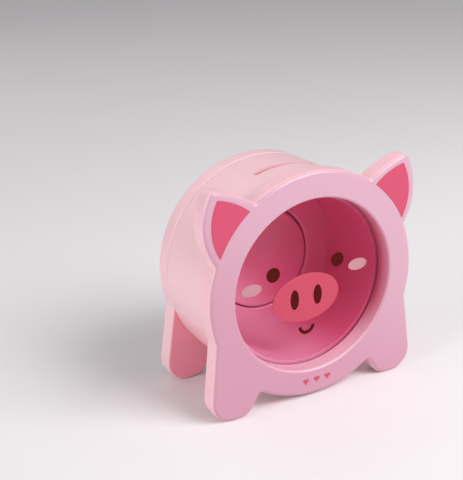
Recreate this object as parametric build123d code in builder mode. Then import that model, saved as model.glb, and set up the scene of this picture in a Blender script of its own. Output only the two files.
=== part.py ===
from build123d import *
import os
from math import cos, radians, sin

# Pig-shaped wooden money box, in millimetres. The drum lies on its side along Y, its window
# faces -Y, and the origin is on the table under the middle of the whole object.

# ---- Driving dimensions: overall shape ----
window_r = 52.0            # window hole
window_rim = 16.0          # front plate's rim round the window
drum_step = 3.0            # drum and back plate inside the front plate's round edge
drum_wall = 15.0
front_t = 12.0             # front plate's thickness
front_ring_t = 15.0        # drum ring behind the front plate
ring_t = 11.0              # each of the other drum rings
ring_count = 3             # drum rings behind the front one
back_t = 12.0              # back plate's thickness
ground_gap = 1.5           # front plate's round part above the table

# ---- Driving dimensions: edges and pane ----
edge_r = 2.5               # rounding of the plates' outer edges
back_edge_r = 1.6          # rounding where the plates turn towards the drum
hole_edge_r = 1.6          # rounding of the window hole's front edge
kink_r = 2.4               # inside corners where legs and ears meet the round part
flare = 1.3                # how far the front ring spreads to meet the front plate
seam_r = 0.8               # rounding of the drum's rear edge, beside the back plate
pane_lap = 5.0             # pane's hidden edge behind the rim
pane_t = 1.5

# ---- Driving dimensions: ears ----
ear_low_deg = 22.0         # where the ear's outer side leaves the round part
ear_high_deg = 56.2        # where the ear's top side leaves the round part
ear_tip_deg = 47.0
ear_reach = 25.2           # tip beyond the round part
ear_side_bulge = 6.6
ear_top_bulge = 0.9
ear_tip_r = 4.0
ear_root_share = 0.8       # how far out the ear's outline starts, inside the round part
lining_corner_deg = 4.2    # bare rim beside the painted lining's lower corners
lining_tip_deg = 45.9
lining_reach = 19.4        # lining's tip beyond the round part
lining_side_bulge = 4.4
lining_top_bulge = 1.4
lining_gap = 0.6           # lining's inner edge inside the round part's rim

# ---- Driving dimensions: legs ----
leg_splay = 2.6            # foot's outer side beyond the round part
leg_width = 25.0           # across the foot, before its corners are rounded
leg_out_deg = 17.5         # where the leg's outer side leaves the round part, below level
leg_in_deg = 56.0          # where the leg's inner side leaves it
foot_outer_r = 13.0
foot_inner_r = 10.0
leg_root_share = 0.5       # how far out the leg's outline starts, inside the round part

# ---- Driving dimensions: coin slot ----
slot_length = 40.0
slot_width = 4.2

# ---- Driving dimensions: coin door and its pull ----
door_hole_r = 32.9         # way out for the coins
door_drop = 2.0            # door's centre below the drum's axis
door_seat_width = 8.5      # sunk seat round it for the door's cover
door_seat_depth = 5.0
door_edge_r = 1.5          # rounding of the plug's and the hole's inner edges
plug_gap = 0.9             # all round the door's plug
cover_gap = 0.5            # all round the door's cover
knob_r = 9.0
knob_out = 12.0            # knob's height above the door
knob_neck_r = 5.0
knob_tenon_r = 4.0
knob_tenon_length = 8.0
knob_collar = 1.0          # foot of the knob beyond its neck
knob_neck_at = 0.2         # shares of the knob's height: neck, swelling and belly
knob_swell_at = 0.45
knob_belly_at = 0.68
knob_swell_share = 0.86    # swelling's share of the knob's radius

# ---- Driving dimensions: magnets and dowels ----
magnet_r = 2.5
magnet_t = 2.0
magnet_count = 4
dowel_r = 2.0
dowel_length = 9.0
dowel_count = 4
glue_gap = 0.02            # round dowels, magnets and the knob's tenon

# ---- Driving dimensions: prints on the pane and the front plate ----
print_t = 0.25
eye_r = 4.4
eye_x = 21.9
eye_up = 8.5
cheek_x = 36.4
cheek_up = 2.4
cheek_half = 6.6
cheek_half_height = 3.6
snout_half = 22.6
snout_half_height = 14.8
snout_drop = 10.2
nostril_x = 7.9
nostril_half = 2.9
nostril_half_height = 6.2
smile_r = 4.6
smile_drop = 28.0          # smile's centre below the drum's axis
smile_stroke = 2.1
smile_half_deg = 84.0
motif_below = 6.8          # row of hearts below the window hole
motif_pitch = 7.5
motif_count = 3
heart_lobe_r = 1.0
heart_lobe_x = 0.9         # heart's lobes and its point, from its middle
heart_lobe_up = 0.6
heart_point_drop = 0.1
heart_point_r = 1.9

# ---- Derived sizes and places ----
disc_r = window_r + window_rim             # front plate's round part
drum_r = disc_r - drum_step                # drum and back plate
pane_r = window_r + pane_lap
door_seat_r = door_hole_r + door_seat_width
motif_drop = window_r + motif_below
centre_z = disc_r + ground_gap
door_z = centre_z - door_drop
drum_length = front_ring_t + ring_count * ring_t
case_depth = front_t + drum_length + back_t
overall_depth = print_t + case_depth + knob_out
front_y = print_t - overall_depth / 2      # front plate's face
front_back_y = front_y + front_t           # front plate's rear face
slot_ring_y = front_back_y + front_ring_t
slot_y = slot_ring_y + ring_t / 2
back_front_y = front_back_y + drum_length  # back plate's front face
back_y = back_front_y + back_t
seat_y = back_y - door_seat_depth
drum_inner_r = drum_r - drum_wall
pane_y = front_back_y - pane_t             # pane's front face
dowel_ring_r = (pane_r + drum_r) / 2
magnet_ring_r = (door_hole_r + door_seat_r) / 2
plug_r = door_hole_r - plug_gap
cover_r = door_seat_r - cover_gap
cove_share = 1 - sin(radians(45))          # middle of a hollow quarter circle
first_dowel_deg = 45.0
other_dowel_deg = 30.0     # every second joint turns its dowels so that they don't meet


def section(y, z=centre_z):
    """Sketch plane across the drum or the door at depth y, centred at height z, seen from the front."""
    return Plane(origin=(0, y, z), x_dir=(1, 0, 0), z_dir=(0, -1, 0))


def on_circle(radius, angle_deg):
    """Point on a circle round the drum's axis, anticlockwise from the right."""
    return (radius * cos(radians(angle_deg)), radius * sin(radians(angle_deg)))


def between(a, b, bulge):
    """Point beside the middle of the line a to b, bulge to the right of its direction."""
    dx = b[0] - a[0]
    dy = b[1] - a[1]
    length = (dx * dx + dy * dy) ** 0.5
    return ((a[0] + b[0]) / 2 + dy / length * bulge, (a[1] + b[1]) / 2 - dx / length * bulge)


def ear_face():
    """Right ear's outline down to inside the round part, tip rounded."""
    low = on_circle(disc_r, ear_low_deg)
    high = on_circle(disc_r, ear_high_deg)
    tip = on_circle(disc_r + ear_reach, ear_tip_deg)
    root = on_circle(disc_r * ear_root_share, (ear_low_deg + ear_high_deg) / 2)
    with BuildSketch(Plane.XY) as ear:
        with BuildLine():
            ThreePointArc(low, between(low, tip, ear_side_bulge), tip)
            ThreePointArc(tip, between(tip, high, ear_top_bulge), high)
            Line(high, root)
            Line(root, low)
        make_face()
        fillet(ear.vertices().sort_by_distance(tip)[0], ear_tip_r)
    return ear.sketch


def leg_face(radius):
    """Right leg's outline from inside a round part of this radius down to its flat sole."""
    foot = -centre_z
    outer = disc_r + leg_splay
    inner = outer - leg_width
    with BuildSketch(Plane.XY) as leg:
        with BuildLine():
            Polyline(
                on_circle(radius, -leg_out_deg),
                (outer, foot),
                (inner, foot),
                on_circle(radius, -leg_in_deg),
                on_circle(radius * leg_root_share, -(leg_out_deg + leg_in_deg) / 2),
                close=True,
            )
        make_face()
        fillet(leg.vertices().sort_by_distance((outer, foot))[0], foot_outer_r)
        fillet(leg.vertices().sort_by_distance((inner, foot))[0], foot_inner_r)
    return leg.sketch


def plate_face(radius, with_ears):
    """Plate's outline: round part, a pair of legs and, in front, a pair of ears."""
    with BuildSketch(Plane.XY) as outline:
        Circle(radius)
        add(leg_face(radius))
        if with_ears:
            add(ear_face())
        mirror(about=Plane.YZ)
        inside_corners = outline.vertices().filter_by(
            lambda corner: abs(Vector(corner.X, corner.Y).length - radius) < 0.001
        )
        fillet(inside_corners, kink_r)
    return outline.sketch


def dowel_holes(y, start_deg, into):
    """Blind holes in one face of a ring; into is +1 towards the front and -1 towards the back."""
    with BuildSketch(section(y)) as holes:
        with PolarLocations(dowel_ring_r, dowel_count, start_deg):
            Circle(dowel_r + glue_gap)
    extrude(holes.sketch, amount=into * dowel_length / 2, mode=Mode.SUBTRACT)


front_outline = plate_face(disc_r, True)
back_outline = plate_face(drum_r, False)


# ---- Front plate: one board with the ears, the front legs and the window hole ----
with BuildPart() as front_plate:
    with BuildSketch(section(front_y)):
        add(front_outline)
    extrude(amount=-front_t)
    fillet(front_plate.faces().sort_by(Axis.Y)[0].outer_wire().edges(), edge_r)
    fillet(front_plate.faces().sort_by(Axis.Y)[-1].outer_wire().edges(), back_edge_r)
    with BuildSketch(section(front_y)):
        Circle(window_r)
    extrude(amount=-front_t, mode=Mode.SUBTRACT)
    fillet(
        front_plate.edges()
        .filter_by(GeomType.CIRCLE)
        .group_by(Axis.Y)[0]
        .filter_by(lambda edge: abs(edge.radius - window_r) < 0.001),
        hole_edge_r,
    )
    with BuildSketch(section(front_back_y)):
        Circle(pane_r + glue_gap)
    extrude(amount=pane_t, mode=Mode.SUBTRACT)
    dowel_holes(front_back_y, first_dowel_deg, 1)

# ---- Clear pane, sunk in the back of the front plate and held there by the front ring ----
with BuildPart() as window_pane:
    with BuildSketch(section(pane_y)):
        Circle(pane_r)
    extrude(amount=-pane_t)


# ---- Drum rings, front to back ----
with BuildPart() as front_ring:
    with BuildSketch(section(front_back_y)):
        Circle(drum_r)
        Circle(drum_inner_r, mode=Mode.SUBTRACT)
    extrude(amount=-front_ring_t)
    with BuildSketch(Plane.YZ):
        with BuildLine():
            Line((front_back_y, centre_z + drum_r), (front_back_y, centre_z + drum_r + flare))
            ThreePointArc(
                (front_back_y, centre_z + drum_r + flare),
                (front_back_y + flare * cove_share, centre_z + drum_r + flare * cove_share),
                (front_back_y + flare, centre_z + drum_r),
            )
            Line((front_back_y + flare, centre_z + drum_r), (front_back_y, centre_z + drum_r))
        make_face()
    revolve(axis=Axis((0, 0, centre_z), (0, 1, 0)))
    dowel_holes(front_back_y, first_dowel_deg, -1)
    dowel_holes(slot_ring_y, other_dowel_deg, 1)

rings = []
for index in range(ring_count):
    ring_front = slot_ring_y + index * ring_t
    ring_back = ring_front + ring_t
    start = first_dowel_deg if index % 2 else other_dowel_deg
    other_start = other_dowel_deg if index % 2 else first_dowel_deg
    with BuildPart() as ring:
        with BuildSketch(section(ring_front)):
            Circle(drum_r)
            Circle(drum_inner_r, mode=Mode.SUBTRACT)
        extrude(amount=-ring_t)
        dowel_holes(ring_front, start, -1)
        dowel_holes(ring_back, other_start, 1)
        if index == 0:
            with BuildSketch(Plane.XY.offset(centre_z)):
                with Locations((0, slot_y)):
                    SlotOverall(slot_length, slot_width)
            extrude(amount=drum_r + 1, mode=Mode.SUBTRACT)
        if index == ring_count - 1:
            rear_edges = ring.edges().filter_by(GeomType.CIRCLE).group_by(Axis.Y)[-1]
            fillet(rear_edges.sort_by(SortBy.RADIUS)[-1], seam_r)
    rings.append(ring)

# ---- Back plate: one board with the back legs and the sunk seat of the coin door ----
with BuildPart() as back_plate:
    with BuildSketch(section(back_front_y)):
        add(back_outline)
    extrude(amount=-back_t)
    fillet(back_plate.faces().sort_by(Axis.Y)[0].outer_wire().edges(), back_edge_r)
    fillet(back_plate.faces().sort_by(Axis.Y)[-1].outer_wire().edges(), edge_r)
    with BuildSketch(section(back_front_y, door_z)):
        Circle(door_hole_r)
    extrude(amount=-back_t, mode=Mode.SUBTRACT)
    with BuildSketch(section(seat_y, door_z)):
        Circle(door_seat_r)
    extrude(amount=-door_seat_depth, mode=Mode.SUBTRACT)
    fillet(
        back_plate.edges()
        .filter_by(GeomType.CIRCLE)
        .group_by(Axis.Y)[0]
        .filter_by(lambda edge: abs(edge.radius - door_hole_r) < 0.001),
        door_edge_r,
    )
    with BuildSketch(section(seat_y, door_z)):
        with PolarLocations(magnet_ring_r, magnet_count, first_dowel_deg):
            Circle(magnet_r + glue_gap)
    extrude(amount=magnet_t, mode=Mode.SUBTRACT)
    last_start = first_dowel_deg if ring_count % 2 else other_dowel_deg
    dowel_holes(back_front_y, last_start, -1)


# ---- Coin door: plug, cover and a turned pull, lifted straight out of the back ----
with BuildPart() as door_plug:
    with BuildSketch(section(back_front_y, door_z)):
        Circle(plug_r)
    extrude(amount=-(back_t - door_seat_depth))
    fillet(door_plug.edges().group_by(Axis.Y)[0], door_edge_r)
    with BuildSketch(section(seat_y, door_z)):
        Circle(knob_tenon_r + glue_gap)
    extrude(amount=knob_tenon_length - door_seat_depth, mode=Mode.SUBTRACT)

with BuildPart() as door_cover:
    with BuildSketch(section(seat_y, door_z)):
        Circle(cover_r)
        Circle(knob_tenon_r + glue_gap, mode=Mode.SUBTRACT)
    extrude(amount=-door_seat_depth)
    fillet(door_cover.faces().sort_by(Axis.Y)[-1].outer_wire().edges(), seam_r)
    with BuildSketch(section(seat_y, door_z)):
        with PolarLocations(magnet_ring_r, magnet_count, first_dowel_deg):
            Circle(magnet_r + glue_gap)
    extrude(amount=-magnet_t, mode=Mode.SUBTRACT)

with BuildPart() as door_knob:
    tenon_y = back_y - knob_tenon_length
    collar_z = door_z + knob_neck_r + knob_collar
    swell_y = back_y + knob_out * knob_swell_at
    swell_z = door_z + knob_r * knob_swell_share
    with BuildSketch(Plane.YZ):
        with BuildLine():
            Polyline(
                (back_y + knob_out, door_z),
                (tenon_y, door_z),
                (tenon_y, door_z + knob_tenon_r),
                (back_y, door_z + knob_tenon_r),
                (back_y, collar_z),
            )
            Spline(
                (back_y, collar_z),
                (back_y + knob_out * knob_neck_at, door_z + knob_neck_r),
                (swell_y, swell_z),
                tangents=((0.6, -1), (0.5, 1)),
            )
            Spline(
                (swell_y, swell_z),
                (back_y + knob_out * knob_belly_at, door_z + knob_r),
                (back_y + knob_out, door_z),
                tangents=((0.5, 1), (0, -1)),
            )
        make_face()
    revolve(axis=Axis((0, 0, door_z), (0, 1, 0)))


# ---- Round stock: magnets and dowels ----
def magnet_set(y):
    """Door's ring of magnets, from depth y backwards."""
    with BuildPart() as stock:
        with BuildSketch(section(y, door_z)):
            with PolarLocations(magnet_ring_r, magnet_count, first_dowel_deg):
                Circle(magnet_r)
        extrude(amount=-magnet_t)
    return stock.part


def dowel_set(y, start_deg):
    """One joint's ring of dowels, half on each side of depth y."""
    with BuildPart() as stock:
        with BuildSketch(section(y - dowel_length / 2)):
            with PolarLocations(dowel_ring_r, dowel_count, start_deg):
                Circle(dowel_r)
        extrude(amount=-dowel_length)
    return stock.part


magnets = {"door_magnets": magnet_set(seat_y), "seat_magnets": magnet_set(seat_y - magnet_t)}
dowels = {}
for index in range(ring_count + 2):
    joint_y = front_back_y if index == 0 else slot_ring_y + (index - 1) * ring_t
    start = other_dowel_deg if index % 2 else first_dowel_deg
    dowels[f"dowels_{index + 1}"] = dowel_set(joint_y, start)


# ---- Prints: thin layers of paint on the pane and on the front plate ----
def print_layer(face, surface_y):
    """A flat face printed on a surface at this depth, standing proud towards the front."""
    with BuildPart() as layer:
        with BuildSketch(section(surface_y)):
            add(face)
        extrude(amount=print_t)
    return layer.part


with BuildSketch(Plane.XY) as eye_face:
    with Locations((-eye_x, eye_up), (eye_x, eye_up)):
        Circle(eye_r)

with BuildSketch(Plane.XY) as cheek_face:
    with Locations((-cheek_x, cheek_up), (cheek_x, cheek_up)):
        Ellipse(cheek_half, cheek_half_height)

with BuildSketch(Plane.XY) as snout_face:
    with Locations((0, -snout_drop)):
        Ellipse(snout_half, snout_half_height)
    with Locations((-nostril_x, -snout_drop), (nostril_x, -snout_drop)):
        Ellipse(nostril_half, nostril_half_height, mode=Mode.SUBTRACT)

with BuildSketch(Plane.XY) as nostril_face:
    with Locations((-nostril_x, -snout_drop), (nostril_x, -snout_drop)):
        Ellipse(nostril_half, nostril_half_height)

with BuildSketch(Plane.XY) as smile_face:
    with BuildLine():
        CenterArc((0, -smile_drop), smile_r, -90 - smile_half_deg, 2 * smile_half_deg)
    trace(line_width=smile_stroke)

with BuildSketch(Plane.XY) as lining_face:
    lining_low_deg = ear_low_deg + lining_corner_deg
    lining_high_deg = ear_high_deg - lining_corner_deg
    rim_r = disc_r - lining_gap
    low = on_circle(rim_r, lining_low_deg)
    high = on_circle(rim_r, lining_high_deg)
    tip = on_circle(disc_r + lining_reach, lining_tip_deg)
    with BuildLine():
        ThreePointArc(low, between(low, tip, lining_side_bulge), tip)
        ThreePointArc(tip, between(tip, high, lining_top_bulge), high)
        ThreePointArc(high, on_circle(rim_r, (lining_low_deg + lining_high_deg) / 2), low)
    make_face()

with BuildSketch(Plane.XY) as motif_face:
    with Locations((0, -motif_drop)):
        with GridLocations(motif_pitch, 0, motif_count, 1):
            with Locations((-heart_lobe_x, heart_lobe_up), (heart_lobe_x, heart_lobe_up)):
                Circle(heart_lobe_r)
            with Locations((0, -heart_point_drop)):
                RegularPolygon(heart_point_r, 3, rotation=-90)

prints = {
    "eye_print": print_layer(eye_face.sketch, pane_y),
    "cheek_print": print_layer(cheek_face.sketch, pane_y),
    "snout_print": print_layer(snout_face.sketch, pane_y),
    "nostril_print": print_layer(nostril_face.sketch, pane_y),
    "smile_print": print_layer(smile_face.sketch, pane_y),
    "motif_print": print_layer(motif_face.sketch, front_y),
    "ear_lining_right": print_layer(lining_face.sketch, front_y),
    "ear_lining_left": print_layer(mirror(lining_face.sketch, about=Plane.YZ), front_y),
}

# ---- Export: one file per piece ----
os.makedirs("parts", exist_ok=True)
pieces = {
    "front_plate": front_plate.part,
    "window_pane": window_pane.part,
    "drum_ring_front": front_ring.part,
    "drum_ring_slot": rings[0].part,
    "back_plate": back_plate.part,
    "door_plug": door_plug.part,
    "door_cover": door_cover.part,
    "door_knob": door_knob.part,
}
for index in range(1, ring_count):
    pieces[f"drum_ring_{index + 2}"] = rings[index].part
pieces.update(magnets)
pieces.update(dowels)
pieces.update(prints)
for name, piece in pieces.items():
    piece.label = name
    export_step(piece, f"parts/{name}.step")
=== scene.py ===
"""Looks of a pig-shaped wooden money box with a round window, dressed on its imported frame."""

import logging
import math
from collections.abc import Mapping, Sequence
from dataclasses import dataclass, field
from enum import Enum

import bmesh
import bpy
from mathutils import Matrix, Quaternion, Vector


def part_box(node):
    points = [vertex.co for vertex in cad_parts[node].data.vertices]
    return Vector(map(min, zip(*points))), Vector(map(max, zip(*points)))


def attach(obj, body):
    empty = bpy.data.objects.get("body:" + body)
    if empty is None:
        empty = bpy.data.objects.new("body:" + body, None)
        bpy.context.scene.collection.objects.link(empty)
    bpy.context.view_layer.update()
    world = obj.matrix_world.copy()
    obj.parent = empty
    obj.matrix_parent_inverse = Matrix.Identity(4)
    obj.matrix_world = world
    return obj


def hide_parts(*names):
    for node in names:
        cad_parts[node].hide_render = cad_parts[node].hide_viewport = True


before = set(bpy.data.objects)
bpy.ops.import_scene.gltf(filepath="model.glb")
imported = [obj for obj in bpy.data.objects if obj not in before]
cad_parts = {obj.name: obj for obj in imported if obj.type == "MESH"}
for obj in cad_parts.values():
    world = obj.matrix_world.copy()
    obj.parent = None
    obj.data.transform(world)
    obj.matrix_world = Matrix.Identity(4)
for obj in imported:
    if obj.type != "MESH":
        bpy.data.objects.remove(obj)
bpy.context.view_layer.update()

log = logging.getLogger("money_box")

MM = 0.001
SHARP_ANGLE = math.radians(32)

Triple = tuple[float, float, float]
Colour = Triple
Reading = "Wire | float | Sequence[float]"


class Body(Enum):
    """Bodies of the money box that pieces ride on."""

    CASE = "case"
    DOOR = "coin_door"


class Facing(Enum):
    """Directions a face can look in, as unit vectors of the frame."""

    FRONT = (0.0, -1.0, 0.0)
    BACK = (0.0, 1.0, 0.0)


class Print(Enum):
    """Prints on the pane and the front plate, with their nodes."""

    EYES = "eye_print"
    CHEEKS = "cheek_print"
    SNOUT = "snout_print"
    NOSTRILS = "nostril_print"
    SMILE = "smile_print"
    HEARTS = "motif_print"
    RIGHT_EAR = "ear_lining_right"
    LEFT_EAR = "ear_lining_left"


def tint(red: int, green: int, blue: int) -> Colour:
    """Turn a paint chart's 0-255 colour into the linear values that shaders take.

    Args:
        red: Red, 0-255.
        green: Green, 0-255.
        blue: Blue, 0-255.

    Returns:
        Linear red, green and blue.
    """

    def linear(value: int) -> float:
        """Return one channel's linear value."""
        share = value / 255
        return share / 12.92 if share <= 0.04045 else ((share + 0.055) / 1.055) ** 2.4

    return (linear(red), linear(green), linear(blue))


@dataclass(frozen=True)
class Wire:
    """One output socket, usable in Python arithmetic on numbers.

    Attributes:
        bench: Bench whose tree the socket is in.
        socket: The output socket.
    """

    bench: "Bench"
    socket: bpy.types.NodeSocket

    def maths(self, operation: str, first: Reading, second: Reading = 0.0) -> "Wire":
        """Add one Math node.

        Args:
            operation: The node's operation.
            first: First value or wire.
            second: Second value or wire.

        Returns:
            The node's result.
        """
        return self.bench.node("ShaderNodeMath", {"operation": operation}, {0: first, 1: second})

    def __add__(self, other: Reading) -> "Wire":
        """Return self + other."""
        return self.maths("ADD", self, other)

    def __radd__(self, other: Reading) -> "Wire":
        """Return other + self."""
        return self.maths("ADD", other, self)

    def __sub__(self, other: Reading) -> "Wire":
        """Return self - other."""
        return self.maths("SUBTRACT", self, other)

    def __rsub__(self, other: Reading) -> "Wire":
        """Return other - self."""
        return self.maths("SUBTRACT", other, self)

    def __mul__(self, other: Reading) -> "Wire":
        """Return self * other."""
        return self.maths("MULTIPLY", self, other)

    def __rmul__(self, other: Reading) -> "Wire":
        """Return other * self."""
        return self.maths("MULTIPLY", other, self)

    def __or__(self, other: Reading) -> "Wire":
        """Return the larger of two masks."""
        return self.maths("MAXIMUM", self, other)

    def __ror__(self, other: Reading) -> "Wire":
        """Return the larger of two masks."""
        return self.maths("MAXIMUM", other, self)


@dataclass
class Bench:
    """Workbench for one material's nodes.

    Attributes:
        name: The material's name.
    """

    name: str
    material: bpy.types.Material = field(init=False)
    tree: bpy.types.NodeTree = field(init=False)

    def __post_init__(self) -> None:
        """Make an empty node material."""
        self.material = bpy.data.materials.new(self.name)
        self.material.use_nodes = True
        self.tree = self.material.node_tree
        self.tree.nodes.clear()

    def node(
        self,
        kind: str,
        settings: Mapping[str, object] | None = None,
        sockets: Mapping[int | str, Reading] | None = None,
        output: int | str = 0,
    ) -> Wire:
        """Add a node.

        Args:
            kind: The node's type.
            settings: What to set on it first.
            sockets: Values or wires of its inputs, by name or number.
            output: The output wanted.

        Returns:
            That output.
        """
        made = self.tree.nodes.new(kind)
        for name, value in (settings or {}).items():
            setattr(made, name, value)
        for name, value in (sockets or {}).items():
            if isinstance(value, Wire):
                self.tree.links.new(value.socket, made.inputs[name])
            else:
                made.inputs[name].default_value = value
        return Wire(self, made.outputs[output])

    def place(self) -> Wire:
        """Return the point on the piece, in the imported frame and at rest, in metres."""
        return self.node("ShaderNodeTexCoord", output="Object")

    def along(self, axis: str) -> Wire:
        """Return how far the point on the piece is along "X", "Y" or "Z", in metres."""
        return self.node("ShaderNodeSeparateXYZ", sockets={0: self.place()}, output=axis)

    def facing(self, way: Facing, low: float, high: float) -> Wire:
        """Mask the faces that look one way.

        Args:
            way: The direction.
            low: Cosine to the direction at which the mask starts.
            high: Cosine at which it is full.

        Returns:
            The mask, 0 to 1.
        """
        normal = self.node("ShaderNodeNewGeometry", output="Normal")
        cosine = self.node(
            "ShaderNodeVectorMath", {"operation": "DOT_PRODUCT"}, {0: normal, 1: way.value}, "Value"
        )
        return self.step(cosine, low, high)

    def step(self, value: Wire, low: float, high: float) -> Wire:
        """Rise smoothly from 0 at low to 1 at high; low may be the greater."""
        return self.node(
            "ShaderNodeMapRange",
            {"interpolation_type": "SMOOTHSTEP"},
            {"Value": value, "From Min": low, "From Max": high},
        )

    def from_axis(self, centre_z: float, squeeze: float = 1.0) -> Wire:
        """Measure how far a point is from a line along Y.

        Args:
            centre_z: Height of the line.
            squeeze: How much flatter than a circle the curves of equal distance are.

        Returns:
            The distance in metres.
        """
        offset = self.node(
            "ShaderNodeVectorMath",
            {"operation": "MULTIPLY_ADD"},
            {0: self.place(), 1: (1.0, 0.0, squeeze), 2: (0.0, 0.0, -centre_z * squeeze)},
        )
        return self.node("ShaderNodeVectorMath", {"operation": "LENGTH"}, {0: offset}, "Value")

    def noise(self, per_metre: float, detail: float, stretch: Sequence[float] = (1, 1, 1)) -> Wire:
        """Add soft 3-D noise.

        Args:
            per_metre: Features in a metre.
            detail: How many finer layers it has.
            stretch: How much denser it is along each axis.

        Returns:
            The noise, about 0 to 1.
        """
        spot = self.node(
            "ShaderNodeVectorMath", {"operation": "MULTIPLY"}, {0: self.place(), 1: tuple(stretch)}
        )
        return self.node(
            "ShaderNodeTexNoise", sockets={"Vector": spot, "Scale": per_metre, "Detail": detail}
        )

    def blend(self, mask: Reading, bare: Reading, full: Reading) -> Wire:
        """Mix two colours.

        Args:
            mask: The mask, 0 to 1.
            bare: The colour where the mask is 0.
            full: The colour where it is 1.

        Returns:
            The mixed colour.
        """
        colours = [c if isinstance(c, Wire) else (*c, 1.0) for c in (bare, full)]
        settings = {"data_type": "RGBA", "clamp_factor": True}
        return self.node("ShaderNodeMix", settings, {0: mask, 6: colours[0], 7: colours[1]}, 2)

    def shade(self, colour: Reading, brightness: Wire) -> Wire:
        """Make a colour lighter or darker.

        Args:
            colour: The colour.
            brightness: What it is multiplied by, near 1.

        Returns:
            The shaded colour.
        """
        start = colour if isinstance(colour, Wire) else tuple(colour)
        grey = self.node("ShaderNodeCombineXYZ", sockets={0: brightness, 1: brightness, 2: brightness})
        return self.node("ShaderNodeVectorMath", {"operation": "MULTIPLY"}, {0: start, 1: grey})

    def bumps(self, height: Wire, depth: float, strength: float = 1.0) -> Wire:
        """Turn a height, 0 to 1, into a normal.

        Args:
            height: The height.
            depth: Metres from lowest to highest.
            strength: How much of it shows.

        Returns:
            The bumped normal.
        """
        return self.node(
            "ShaderNodeBump", sockets={"Height": height, "Distance": depth, "Strength": strength}
        )

    def coat(self, sockets: Mapping[int | str, Reading]) -> Wire:
        """Add the Principled surface with these sockets."""
        return self.node("ShaderNodeBsdfPrincipled", sockets=sockets)

    def finish(self, surface: Wire) -> bpy.types.Material:
        """Send a surface to the output and return the material."""
        output = self.tree.nodes.new("ShaderNodeOutputMaterial")
        self.tree.links.new(surface.socket, output.inputs["Surface"])
        return self.material


@dataclass(frozen=True)
class Lacquer:
    """Satin lacquer sprayed on wood: fine orange peel over a trace of the board's grain.

    Attributes:
        roughness: Mean roughness.
        sheen: Weight of the clear coat.
        grain: How much denser the grain is along each axis; it runs along the least dense one.
        peel_per_metre, cloud_per_metre, grain_per_metre: Features in a metre of the orange peel,
            of the broad unevenness and of the grain.
        relief: Height of the peel.
        coat_roughness: Roughness of the clear coat.
    """

    roughness: float = 0.42
    sheen: float = 0.5
    grain: Triple = (0.08, 1.0, 1.0)
    peel_per_metre: float = 850.0
    cloud_per_metre: float = 24.0
    grain_per_metre: float = 620.0
    relief: float = 0.05 * MM
    coat_roughness: float = 0.16

    def spray(self, bench: Bench, colour: Reading) -> bpy.types.Material:
        """Lay one colour, or a mixed one, on a piece.

        Args:
            bench: Bench of the new material.
            colour: The paint's colour.

        Returns:
            The finished material.
        """
        peel = bench.noise(self.peel_per_metre, 2.0)
        cloud = bench.noise(self.cloud_per_metre, 3.0)
        grain = bench.noise(self.grain_per_metre, 3.0, self.grain)
        return bench.finish(
            bench.coat(
                {
                    "Base Color": bench.shade(colour, 0.965 + cloud * 0.05 + peel * 0.02),
                    "Roughness": self.roughness - 0.07 + cloud * 0.08 + peel * 0.06,
                    "Normal": bench.bumps(peel * 0.75 + grain * 0.25, self.relief, 0.5),
                    "Coat Weight": self.sheen,
                    "Coat Roughness": self.coat_roughness,
                }
            )
        )


@dataclass(frozen=True)
class FacePaint:
    """Paint of the front plate: mauve face, paler edges, and painted light and shade on face and
    window wall.

    Attributes:
        sizes: Sizes of the money box.
        brow, feet: The face's coat at the ears, lighter as painted light, and low down, darker as
            painted shade.
        edges: The coat of the outer edges and the back.
        lip, throat: The coat of the window's wall at its front and at the pane, darker over the top as
            painted shade.
        brim, sill: The same two along the bottom, where the face's coat carries on, lighter as painted
            light.
        slant: How much the face's painted shade leans from upright towards its right side.
        fade_from, fade_to: Heights, as shares of the axis's, between which the face fades into its
            painted shade.
        bottom_from, bottom_to: Drops below the axis, as shares of the window's radius, between
            which the wall turns into its lighter bottom of painted light.
    """

    sizes: "Measures"
    brow_painted_light: Colour = tint(208, 161, 180)
    feet_painted_shade: Colour = tint(204, 146, 168)
    edges: Colour = tint(247, 195, 205)
    lip_painted_shade: Colour = tint(214, 140, 162)
    brim_painted_light: Colour = tint(234, 184, 202)
    throat_painted_shade: Colour = tint(190, 66, 94)
    sill_painted_light: Colour = tint(238, 174, 196)
    slant: float = 0.6
    fade_from: float = 1.6
    fade_to: float = 0.3
    bottom_from: float = 0.35
    bottom_to: float = 0.95

    def mix(self) -> bpy.types.Material:
        """Mix the front plate's paint.

        Returns:
            The finished material.
        """
        bench = Bench("face_paint")
        sizes = self.sizes
        front = bench.facing(Facing.FRONT, 0.3, 0.75)
        outside = bench.blend(front, self.edges, self.face(bench))
        radius = bench.from_axis(sizes.centre.z)
        in_window = bench.step(radius, sizes.window_r + 1.2 * MM, sizes.window_r + 0.1 * MM)
        return Lacquer().spray(bench, bench.blend(in_window, outside, self.wall(bench)))

    def face(self, bench: Bench) -> Wire:
        """Fade the face's coat, darker towards the bottom and the left as painted shade.

        Args:
            bench: Bench of the new material.

        Returns:
            The colour.
        """
        axis_z = self.sizes.centre.z
        slanting = bench.along("Z") + bench.along("X") * self.slant
        # Painted shade: the face's coat darkens towards the bottom and the left, with painted light at
        # the top right.
        low = bench.step(slanting, axis_z * self.fade_from, axis_z * self.fade_to)
        return bench.blend(low, self.brow_painted_light, self.feet_painted_shade)

    def wall(self, bench: Bench) -> Wire:
        """Fade the window wall's coat: painted shade towards the pane and the top, painted light
        below.

        Args:
            bench: Bench of the new material.

        Returns:
            The colour.
        """
        sizes = self.sizes
        # Painted shade darkens the wall towards the pane and over its top; painted light makes its
        # bottom paler.
        deep = bench.step(bench.along("Y"), sizes.centre.y + 2 * MM, sizes.pane_y)
        top_z = sizes.centre.z - self.bottom_from * sizes.window_r
        bottom_z = sizes.centre.z - self.bottom_to * sizes.window_r
        under = bench.step(bench.along("Z"), top_z, bottom_z)
        front_light_and_shade = bench.blend(under, self.lip_painted_shade, self.brim_painted_light)
        return bench.blend(deep, front_light_and_shade, bench.blend(under, self.throat_painted_shade, self.sill_painted_light))


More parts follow.
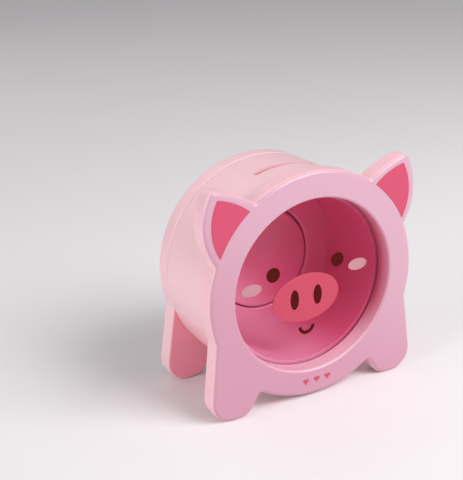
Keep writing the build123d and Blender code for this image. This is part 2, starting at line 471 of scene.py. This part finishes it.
@dataclass(frozen=True)
class BodyPaint:
    """Paint of the drum, the back plate and the door: pale outside and raspberry inside, with painted
    light and shade.

    Attributes:
        name: The material's name.
        hollow_r: Radius of the coin chamber.
        outer_r: Radius of the drum.
        centre_z: Height of the drum's axis.
        joint_y: Depth of the back plate's front face.
        grain: How much denser the wood's grain is along each axis.
        outside: The pale outer coat.
        inside, inside_painted_light: The raspberry coat of the coin chamber, and the paler coat of
            painted light at its lower left.
        shins_paint_and_light: The raspberry coat on the front of the back legs, lighter than the
            chamber's as painted light.
        seam: The coat on the back plate's front edge, where it meets the drum.
        slot_painted_shade: The darker rose coat down the walls of the coin slot, painted shade in the
            slot.
        slot_from, slot_to: Depths below the drum's surface between which that coat sets in.
        shin_share: Height, as a share of the axis's, below which the legs' coat is full.
        light_start: Drop below the axis, as a share of the chamber's radius, where painted light sets
            in.
    """

    name: str
    hollow_r: float
    outer_r: float
    centre_z: float
    joint_y: float
    grain: Triple = (0.08, 1.0, 1.0)
    outside: Colour = tint(246, 200, 208)
    inside: Colour = tint(236, 96, 146)
    inside_painted_light: Colour = tint(250, 166, 204)
    shins_paint_and_light: Colour = tint(255, 160, 180)
    seam: Colour = tint(244, 182, 195)
    slot_painted_shade: Colour = tint(226, 138, 158)
    slot_from: float = 0.7 * MM
    slot_to: float = 1.9 * MM
    shin_share: float = 0.75
    light_start: float = 0.15

    def mix(self) -> bpy.types.Material:
        """Mix the paint of the drum, the back plate or the door.

        Returns:
            The finished material.
        """
        bench = Bench(self.name)
        radius = bench.from_axis(self.centre_z)
        front = bench.facing(Facing.FRONT, 0.8, 0.98)
        in_hollow = bench.step(radius, self.hollow_r + 0.6 * MM, self.hollow_r + 0.2 * MM)
        near = bench.step(radius, self.hollow_r + 4 * MM, self.hollow_r + 3 * MM)
        not_back = 1 - bench.facing(Facing.BACK, 0.3, 0.6)
        inside = in_hollow * not_back | front * near
        outer_coat = self.outer_coat(bench, radius, front)
        colour = bench.blend(inside, outer_coat, self.chamber(bench))
        return Lacquer(grain=self.grain).spray(bench, colour)

    def outer_coat(self, bench: Bench, radius: Wire, front: Wire) -> Wire:
        """Lay the outer coat, with painted shade down the slot's walls, the seam, and painted light on
        the legs' fronts.

        Args:
            bench: Bench of the new material.
            radius: Distance from the drum's axis.
            front: Mask of the faces that look forwards.

        Returns:
            The colour.
        """
        behind = bench.step(bench.along("Y"), self.joint_y - 2 * MM, self.joint_y - 1 * MM)
        leg = bench.step(bench.along("Z"), self.centre_z, self.shin_share * self.centre_z)
        # Painted shade: the slot's walls turn darker rose below the drum's surface.
        sunk_shade = bench.step(radius, self.outer_r - self.slot_from, self.outer_r - self.slot_to)
        skin = bench.blend(sunk_shade * (1 - behind), self.outside, self.slot_painted_shade)
        # Painted light: the legs' raspberry fronts are lighter than the chamber's coat of the same
        # face.
        return bench.blend(front * behind, skin, bench.blend(leg, self.seam, self.shins_paint_and_light))

    def chamber(self, bench: Bench) -> Wire:
        """Fade the coat of the coin chamber, paler towards the lower left as painted light.

        Args:
            bench: Bench of the new material.

        Returns:
            The colour.
        """
        start = self.centre_z - self.light_start * self.hollow_r
        # Painted light: the chamber's coat turns paler towards the lower left.
        low = bench.step(bench.along("Z") + bench.along("X"), start, start - self.hollow_r)
        return bench.blend(low, self.inside, self.inside_painted_light)


@dataclass(frozen=True)
class Ink:
    """Screen-printed ink: an opaque film, a little uneven, with the mesh's faint weave.

    Attributes:
        name: The material's name.
        colour: The ink's colour.
        threads_per_metre: How fine the screen's mesh is.
        film_per_metre: Features in a metre of the film's unevenness.
        relief: Height of the film's weave.
        glint: Strength of its highlights.
    """

    name: str
    colour: Colour
    threads_per_metre: float = 3200.0
    film_per_metre: float = 260.0
    relief: float = 0.02 * MM
    glint: float = 0.08

    def mix(self) -> bpy.types.Material:
        """Mix the ink.

        Returns:
            The finished material.
        """
        bench = Bench(self.name)
        film = bench.noise(self.film_per_metre, 3.0)
        weave = self.weave(bench, "X") * self.weave(bench, "Z")
        return bench.finish(
            bench.coat(
                {
                    "Base Color": bench.shade(self.colour, 0.96 + film * 0.05 + weave * 0.03),
                    "Roughness": 0.4 + film * 0.14,
                    "Normal": bench.bumps(weave * 0.6 + film * 0.4, self.relief, 0.4),
                    "Specular IOR Level": self.glint,
                }
            )
        )

    def weave(self, bench: Bench, axis: str) -> Wire:
        """Return the wave of the screen's threads across one axis, 0 to 1."""
        turn = bench.along(axis) * (self.threads_per_metre * math.tau)
        return bench.node("ShaderNodeMath", {"operation": "SINE"}, {0: turn}) * 0.5 + 0.5


@dataclass(frozen=True)
class Acrylic:
    """Clear acrylic sheet with wiped smears and a few hairline scratches.

    Attributes:
        name: The material's name.
        index: Refractive index that sets how strongly it mirrors at a slant.
        mirror: Share of that mirroring which is kept, for a low-glare sheet.
        haze: How much of the smears shows.
        body: The tint of what is seen through it.
        smears_per_metre, scratches_per_metre: Features in a metre of each.
        scratch_depth: Depth of the scratches.
    """

    name: str = "clear_pane"
    index: float = 1.15
    mirror: float = 0.5
    haze: float = 0.004
    body: Colour = (0.985, 0.965, 0.97)
    smears_per_metre: float = 38.0
    scratches_per_metre: float = 900.0
    scratch_depth: float = 0.004 * MM

    def mix(self) -> bpy.types.Material:
        """Mix the clear sheet.

        Returns:
            The finished material.
        """
        bench = Bench(self.name)
        smear = bench.noise(self.smears_per_metre, 4.0, (1.0, 1.0, 0.45))
        scratches = bench.noise(self.scratches_per_metre, 1.0, (0.04, 1.0, 1.0))
        gloss = bench.coat(
            {
                "Base Color": (*self.body, 1.0),
                "Roughness": 0.03 + smear * 0.09,
                "Normal": bench.bumps(scratches, self.scratch_depth, 0.3),
            }
        )
        clear = bench.node("ShaderNodeBsdfTransparent", sockets={"Color": (*self.body, 1.0)})
        slant = bench.node("ShaderNodeFresnel", sockets={"IOR": self.index})
        share = slant * self.mirror + smear * self.haze
        return bench.finish(
            bench.node("ShaderNodeMixShader", sockets={0: share, 1: clear, 2: gloss})
        )


@dataclass(frozen=True)
class Wood:
    """Bare beech with growth rings round a pith line that runs along Y.

    Attributes:
        name: The material's name.
        pith_z: Height of the pith line.
        early: Colour between the rings.
        late: Colour of the rings.
        ring: Spacing of the rings in metres.
        sway_per_metre, fibres_per_metre, flecks_per_metre: Features in a metre of the rings'
            waviness, of the fibres and of the dark flecks.
        relief: Height of the fibres.
    """

    name: str
    pith_z: float
    early: Colour = tint(231, 196, 150)
    late: Colour = tint(201, 155, 104)
    ring: float = 1.7 * MM
    sway_per_metre: float = 60.0
    fibres_per_metre: float = 2400.0
    flecks_per_metre: float = 1500.0
    relief: float = 0.06 * MM

    def mix(self) -> bpy.types.Material:
        """Mix the wood.

        Returns:
            The finished material.
        """
        bench = Bench(self.name)
        sway = bench.noise(self.sway_per_metre, 2.0, (1.0, 0.2, 1.0))
        fibres = bench.noise(self.fibres_per_metre, 3.0, (1.0, 0.05, 1.0))
        flecks = bench.step(bench.noise(self.flecks_per_metre, 1.0, (1.0, 0.12, 1.0)), 0.62, 0.72)
        rings = bench.from_axis(self.pith_z, 0.85) * (1 / self.ring) + sway * 1.6
        fraction = bench.node("ShaderNodeMath", {"operation": "FRACT"}, {0: rings})
        late = bench.step(fraction, 0.35, 0.95) * bench.step(fraction, 1.0, 0.96)
        wood = bench.blend(late * 0.7 + fibres * 0.2 + flecks * 0.25, self.early, self.late)
        return bench.finish(
            bench.coat(
                {
                    "Base Color": wood,
                    "Roughness": 0.46 + fibres * 0.12 + late * 0.05,
                    "Normal": bench.bumps(fibres * 0.6 + late * 0.4, self.relief, 0.5),
                    "Coat Weight": 0.15,
                    "Coat Roughness": 0.3,
                }
            )
        )


@dataclass(frozen=True)
class Nickel:
    """Bright nickel plating of magnets, brushed a little by handling.

    Attributes:
        name: The material's name.
        colour: The plating's colour.
        rubs_per_metre, stains_per_metre: Features in a metre of each.
        relief: Depth of the rubs.
    """

    name: str
    colour: Colour = tint(214, 211, 205)
    rubs_per_metre: float = 1800.0
    stains_per_metre: float = 300.0
    relief: float = 0.01 * MM

    def mix(self) -> bpy.types.Material:
        """Mix the plating.

        Returns:
            The finished material.
        """
        bench = Bench(self.name)
        rub = bench.noise(self.rubs_per_metre, 2.0, (1.0, 1.0, 0.15))
        stain = bench.noise(self.stains_per_metre, 3.0)
        return bench.finish(
            bench.coat(
                {
                    "Base Color": bench.shade(self.colour, 0.9 + stain * 0.12),
                    "Metallic": 1.0,
                    "Roughness": 0.16 + rub * 0.16,
                    "Normal": bench.bumps(rub, self.relief, 0.3),
                }
            )
        )


@dataclass(frozen=True)
class DarkRingFinish:
    """Dark raspberry finish of the thin ring round the pane, smooth with small ripples.

    Attributes:
        name: The material's name.
        colour: The ring's colour.
        ripples_per_metre: Ripples in a metre.
        relief: Height of the ripples.
    """

    name: str = "dark_ring_finish"
    colour: Colour = tint(158, 52, 80)
    ripples_per_metre: float = 420.0
    relief: float = 0.05 * MM

    def mix(self) -> bpy.types.Material:
        """Mix the sealant.

        Returns:
            The finished material.
        """
        bench = Bench(self.name)
        ripple = bench.noise(self.ripples_per_metre, 2.0)
        return bench.finish(
            bench.coat(
                {
                    "Base Color": bench.shade(self.colour, 0.9 + ripple * 0.2),
                    "Roughness": 0.35 + ripple * 0.2,
                    "Normal": bench.bumps(ripple, self.relief, 0.5),
                }
            )
        )


@dataclass(frozen=True)
class FloorCoat:
    """Matt pale studio floor.

    Attributes:
        name: The material's name.
        colour: The floor's colour.
        mottle_per_metre: Features in a metre of its unevenness.
    """

    name: str = "studio_floor"
    colour: Colour = tint(238, 236, 238)
    mottle_per_metre: float = 6.0

    def mix(self) -> bpy.types.Material:
        """Mix the floor's coat.

        Returns:
            The finished material.
        """
        bench = Bench(self.name)
        mottle = bench.noise(self.mottle_per_metre, 3.0)
        return bench.finish(
            bench.coat(
                {
                    "Base Color": bench.shade(self.colour, 0.985 + mottle * 0.03),
                    "Roughness": 0.7 + mottle * 0.1,
                }
            )
        )


def dress(node: str, material: bpy.types.Material) -> bpy.types.Object:
    """Give one node of the frame its finish.

    Args:
        node: The node's name.
        material: Its new material.

    Returns:
        The node's object.
    """
    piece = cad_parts[node]
    for slot in piece.material_slots:
        slot.material = material
    log.info("dressed %s in %s", node, material.name)
    return piece


def mesh_piece(name: str, work: bmesh.types.BMesh, material: bpy.types.Material) -> bpy.types.Object:
    """Turn a finished bmesh into an object that is smooth but for its sharp edges.

    Args:
        name: The piece's name.
        work: Its mesh, freed here.
        material: Its finish.

    Returns:
        The new object.
    """
    bmesh.ops.recalc_face_normals(work, faces=work.faces)
    mesh = bpy.data.meshes.new(name)
    work.to_mesh(mesh)
    work.free()
    mesh.shade_smooth()
    mesh.set_sharp_from_angle(angle=SHARP_ANGLE)
    mesh.materials.append(material)
    piece = bpy.data.objects.new(name, mesh)
    bpy.context.scene.collection.objects.link(piece)
    return piece


@dataclass
class Measures:
    """Sizes that the finishes and the studio share, read from the frame.

    Attributes:
        pane_lap: How far the pane reaches behind the rim of the window.
        drum_wall: Thickness of the drum's wall.
        centre: Where the drum's axis meets the front face.
        window_r: Radius of the window.
        hollow_r, outer_r: Radius of the coin chamber and of the drum.
        pane_y: Depth of the pane's front face.
        joint_y: Depth of the back plate's front face.
    """

    pane_lap: float = 5 * MM
    drum_wall: float = 15 * MM
    centre: Vector = field(init=False)
    window_r: float = field(init=False)
    hollow_r: float = field(init=False)
    outer_r: float = field(init=False)
    pane_y: float = field(init=False)
    joint_y: float = field(init=False)

    def __post_init__(self) -> None:
        """Read the pane, both plates and a drum ring."""
        pane_low, pane_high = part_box("window_pane")
        ring_low, ring_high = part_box("drum_ring_3")
        self.centre = (pane_low + pane_high) / 2
        self.centre.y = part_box("front_plate")[0].y
        self.window_r = (pane_high.x - pane_low.x) / 2 - self.pane_lap
        self.outer_r = (ring_high.x - ring_low.x) / 2
        self.hollow_r = self.outer_r - self.drum_wall
        self.pane_y = pane_low.y
        self.joint_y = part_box("back_plate")[0].y

    def drum(self) -> tuple[float, float, float, float]:
        """Return the drum's inner and outer radius, its height and where the back plate starts."""
        return (self.hollow_r, self.outer_r, self.centre.z, self.joint_y)


@dataclass
class Turning:
    """Shape turned round the drum's axis from an outline of radii and depths.

    Attributes:
        sizes: Sizes of the money box.
        turns: Sections round the axis.
    """

    sizes: Measures
    turns: int = 240

    def sweep(self, outline: list[tuple[float, float]], closed: bool) -> bmesh.types.BMesh:
        """Turn an outline.

        Args:
            outline: Radius and depth of each point.
            closed: Whether the last point joins the first; if not, both ends are capped flat.

        Returns:
            The turned mesh.
        """
        work = bmesh.new()
        loops = []
        for turn in range(self.turns):
            angle = math.tau * turn / self.turns
            across = math.cos(angle)
            up = math.sin(angle)
            points = [(r * across, y, self.sizes.centre.z + r * up) for r, y in outline]
            loops.append([work.verts.new(point) for point in points])
        spans = len(outline) if closed else len(outline) - 1
        for turn, loop in enumerate(loops):
            following = loops[(turn + 1) % self.turns]
            for step in range(spans):
                nearby = (step + 1) % len(outline)
                work.faces.new((loop[step], loop[nearby], following[nearby], following[step]))
        if not closed:
            work.faces.new([loop[0] for loop in loops])
            work.faces.new([loop[-1] for loop in loops])
        return work


@dataclass
class PaneSheet(Turning):
    """Round acrylic pane with broken edges, a hair clear of the drum behind it.

    Attributes:
        chamfer: Width of its broken edges.
        clearance: Gap left behind it.
    """

    chamfer: float = 0.3 * MM
    clearance: float = 0.03 * MM

    def build(self) -> bpy.types.Object:
        """Turn the pane.

        Returns:
            The piece.
        """
        low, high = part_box("window_pane")
        radius = (high.x - low.x) / 2
        back_y = high.y - self.clearance
        outline = [
            (radius - self.chamfer, low.y),
            (radius, low.y + self.chamfer),
            (radius, back_y - self.chamfer),
            (radius - self.chamfer, back_y),
        ]
        pane = mesh_piece("pane_sheet", self.sweep(outline, closed=False), Acrylic().mix())
        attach(pane, Body.CASE.value)
        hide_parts("window_pane")
        log.info("built %s", pane.name)
        return pane


@dataclass
class SeamShadeLine(Turning):
    """Line of painted shade, a darker pink ring in the groove between the drum and the back plate.

    Attributes:
        depth: How far below the drum's surface its edges lie.
        crown: How far its middle stands above its edges; below them if negative.
        half_width: Half its width.
        height: How thick it is.
        colour: The painted shade's colour.
    """

    depth: float = 0.45 * MM
    crown: float = -0.15 * MM
    half_width: float = 0.42 * MM
    height: float = 1.2 * MM
    colour: Colour = tint(216, 138, 158)

    def build(self) -> bpy.types.Object:
        """Turn the ring of painted shade.

        Returns:
            The piece.
        """
        radius = self.sizes.outer_r - self.depth
        joint_y = self.sizes.joint_y
        front = joint_y - self.half_width
        back = joint_y + self.half_width
        outline = [
            (radius, front),
            (radius + self.crown, joint_y),
            (radius, back),
            (radius - self.height, back),
            (radius - self.height, front),
        ]
        # Painted shade: the ring darkens the groove where its shade falls.
        line = mesh_piece("seam_shade_line", self.sweep(outline, closed=True), self.paint())
        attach(line, Body.CASE.value)
        log.info("built %s", line.name)
        return line

    def paint(self) -> bpy.types.Material:
        """Return the line's material."""
        return Lacquer(sheen=0.0).spray(Bench("seam_painted_shade"), self.colour)


@dataclass
class PaneBead(Turning):
    """Thin dark raspberry ring in the corner between the pane and the window's wall.

    Attributes:
        reach: How far it covers the pane and the wall.
        tuck: How deep it sits in both.
        arc_steps: Points along its hollow face.
    """

    reach: float = 0.28 * MM
    tuck: float = 0.05 * MM
    arc_steps: int = 6

    def section(self) -> list[tuple[float, float]]:
        """Draw the bead's outline, round its hollow face and its corner.

        Returns:
            Radius and depth of each point.
        """
        radius = self.sizes.window_r
        face_y = self.sizes.pane_y
        outline = []
        for step in range(self.arc_steps + 1):
            angle = math.radians(90 * step / self.arc_steps)
            out = radius - self.reach + self.reach * math.sin(angle)
            depth = face_y - self.reach + self.reach * math.cos(angle)
            outline.append((out, depth))
        outline.append((radius + self.tuck, face_y - self.reach))
        outline.append((radius + self.tuck, face_y + self.tuck))
        outline.append((radius - self.reach, face_y + self.tuck))
        return outline

    def build(self) -> bpy.types.Object:
        """Turn the bead round the window.

        Returns:
            The piece.
        """
        bead = mesh_piece("pane_bead", self.sweep(self.section(), closed=True), DarkRingFinish().mix())
        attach(bead, Body.CASE.value)
        log.info("built %s", bead.name)
        return bead


@dataclass
class Front:
    """Front plate, window pane and everything printed on them.

    Attributes:
        sizes: Sizes of the money box.
        raspberry, snout, dark, blush: The inks.
    """

    sizes: Measures
    raspberry: Ink = Ink("raspberry_print", tint(206, 84, 112))
    snout: Ink = Ink("snout_ink", tint(200, 80, 102))
    dark: Ink = Ink("dark_ink", tint(80, 10, 8))
    blush: Ink = Ink("blush_ink", tint(198, 144, 152))

    def build(self) -> None:
        """Dress the plate, the pane and the prints, and run the bead round the pane."""
        dress("front_plate", FacePaint(self.sizes).mix())
        PaneSheet(self.sizes).build()
        inks = {
            self.raspberry: (Print.HEARTS, Print.RIGHT_EAR, Print.LEFT_EAR),
            self.snout: (Print.SNOUT,),
            self.dark: (Print.EYES, Print.NOSTRILS, Print.SMILE),
            self.blush: (Print.CHEEKS,),
        }
        for ink, prints in inks.items():
            material = ink.mix()
            for each in prints:
                dress(each.value, material)
        PaneBead(self.sizes).build()


@dataclass
class Case:
    """Drum rings, back plate and the hidden dowels and magnets that join them.

    Attributes:
        sizes: Sizes of the money box.
        rings: Nodes of the drum's rings, front to back.
        dowel_sets: How many glued joints have dowels.
        dowel_ring: Spacing of the growth rings in the dowels' wood.
    """

    sizes: Measures
    rings: tuple[str, ...] = ("drum_ring_front", "drum_ring_slot", "drum_ring_3", "drum_ring_4")
    dowel_sets: int = 5
    dowel_ring: float = 1.1 * MM

    def build(self) -> None:
        """Dress every piece of the case behind the front plate."""
        paint = BodyPaint("body_paint", *self.sizes.drum()).mix()
        for name in (*self.rings, "back_plate"):
            dress(name, paint)
        dowel_wood = Wood("dowel_wood", self.sizes.centre.z, ring=self.dowel_ring).mix()
        for number in range(1, self.dowel_sets + 1):
            dress(f"dowels_{number}", dowel_wood)
        dress("seat_magnets", Nickel("seat_nickel").mix())
        SeamShadeLine(self.sizes).build()


@dataclass
class CoinDoor:
    """Coin door in the back: plug, cover, turned pull and magnets.

    Attributes:
        sizes: Sizes of the money box.
        pith_drop: How far below the drum's axis the pith of the pull's wood runs.
        upright: The boards' grain, which runs along Z.
    """

    sizes: Measures
    pith_drop: float = 14 * MM
    upright: Triple = (1.0, 1.0, 0.08)

    def build(self) -> None:
        """Dress the door's pieces."""
        paint = BodyPaint("door_paint", *self.sizes.drum(), grain=self.upright).mix()
        for name in ("door_plug", "door_cover"):
            dress(name, paint)
        dress("door_knob", Wood("knob_wood", self.sizes.centre.z - self.pith_drop).mix())
        dress("door_magnets", Nickel("door_nickel").mix())


@dataclass(frozen=True)
class Softbox:
    """One square area light aimed at the money box.

    Attributes:
        name: The light's name.
        place: Where it stands, from the middle of the drum, in metres.
        side: Its side in metres.
        power: Its power in watts.
        colour: Its colour.
    """

    name: str
    place: Triple
    side: float
    power: float
    colour: Colour

    def stand(self, aim: Vector) -> None:
        """Put the light up.

        Args:
            aim: The point it faces.
        """
        lamp = bpy.data.lights.new(self.name, "AREA")
        lamp.shape = "SQUARE"
        lamp.size = self.side
        lamp.energy = self.power
        lamp.color = self.colour
        stand = bpy.data.objects.new(self.name, lamp)
        stand.visible_camera = False
        stand.location = aim + Vector(self.place)
        stand.rotation_mode = "QUATERNION"
        stand.rotation_quaternion = (-Vector(self.place)).to_track_quat("-Z", "Y")
        bpy.context.scene.collection.objects.link(stand)


@dataclass
class Studio:
    """Pale floor, soft lights and the camera.

    Attributes:
        sizes: Sizes of the money box.
        azimuth, elevation, distance: The camera's place round the middle of the front face.
        heading, pitch, roll: Where it points.
        lens, sensor: Its focal length and its sensor's width, in millimetres.
        near: Nearest distance that the camera sees, in metres.
        floor_side: Side of the floor in metres.
        floor_squares: Squares along each side of the floor.
        daylight: Strength of the room's even light.
        room: Colour of that light.
        softboxes: The lights.
    """

    sizes: Measures
    azimuth: float = 33.65
    elevation: float = 23.01
    distance: float = 0.5531
    heading: float = 28.36
    pitch: float = -20.14
    roll: float = -2.29
    lens: float = 72.61
    sensor: float = 36.0
    near: float = 0.01
    floor_side: float = 30.0
    floor_squares: int = 8
    daylight: float = 0.40
    room: Colour = (0.97, 0.96, 0.97)
    softboxes: tuple[Softbox, ...] = (
        Softbox("key_box", (0.5, -0.82, 0.88), 0.8, 14.8, (1.0, 0.985, 0.985)),
        Softbox("left_box", (-2.2, -0.2, 0.75), 1.4, 21.5, (1.0, 0.985, 0.975)),
        Softbox("rim_box", (-0.3, 1.3, 0.8), 1.0, 1.0, (1.0, 0.99, 0.99)),
    )

    def build(self) -> None:
        """Set up the floor, the lights, the world and the camera."""
        self.lay_floor()
        middle = Vector((0.0, 0.0, self.sizes.centre.z))
        for softbox in self.softboxes:
            softbox.stand(middle)
        self.paint_world()
        self.place_camera()

    def lay_floor(self) -> None:
        """Lay one large flat sheet under the money box."""
        work = bmesh.new()
        squares = self.floor_squares
        bmesh.ops.create_grid(work, x_segments=squares, y_segments=squares, size=self.floor_side / 2)
        floor = mesh_piece("studio_floor", work, FloorCoat().mix())

    def paint_world(self) -> None:
        """Fill the room with even, neutral light."""
        world = bpy.data.worlds.new("studio")
        world.use_nodes = True
        background = world.node_tree.nodes["Background"]
        background.inputs["Color"].default_value = (*self.room, 1.0)
        background.inputs["Strength"].default_value = self.daylight
        bpy.context.scene.world = world
        bpy.context.scene.view_settings.view_transform = "Standard"

    def direction(self, heading: float, pitch: float) -> Vector:
        """Turn a heading and a pitch into a unit vector.

        Args:
            heading: Degrees clockwise from +Y, seen from above.
            pitch: Degrees above level.

        Returns:
            The vector.
        """
        turn = math.radians(heading)
        rise = math.radians(pitch)
        level = math.cos(rise)
        return Vector((math.sin(turn) * level, math.cos(turn) * level, math.sin(rise)))

    def place_camera(self) -> None:
        """Place the camera and point it."""
        lens = bpy.data.cameras.new("camera")
        lens.lens = self.lens
        lens.sensor_width = self.sensor
        lens.clip_start = self.near
        camera = bpy.data.objects.new("camera", lens)
        line_of_sight = self.direction(self.azimuth, -self.elevation)
        camera.location = self.sizes.centre - line_of_sight * self.distance
        aim = self.direction(self.heading, self.pitch).to_track_quat("-Z", "Y")
        camera.rotation_mode = "QUATERNION"
        camera.rotation_quaternion = aim @ Quaternion((0.0, 0.0, 1.0), math.radians(self.roll))
        bpy.context.scene.collection.objects.link(camera)
        bpy.context.scene.camera = camera


def main() -> None:
    """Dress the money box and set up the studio."""
    logging.basicConfig(level=logging.INFO, format="%(message)s")
    sizes = Measures()
    for assembly in (Front(sizes), Case(sizes), CoinDoor(sizes), Studio(sizes)):
        assembly.build()
        log.info("finished the %s", type(assembly).__name__)


if __name__ == "__main__":
    main()
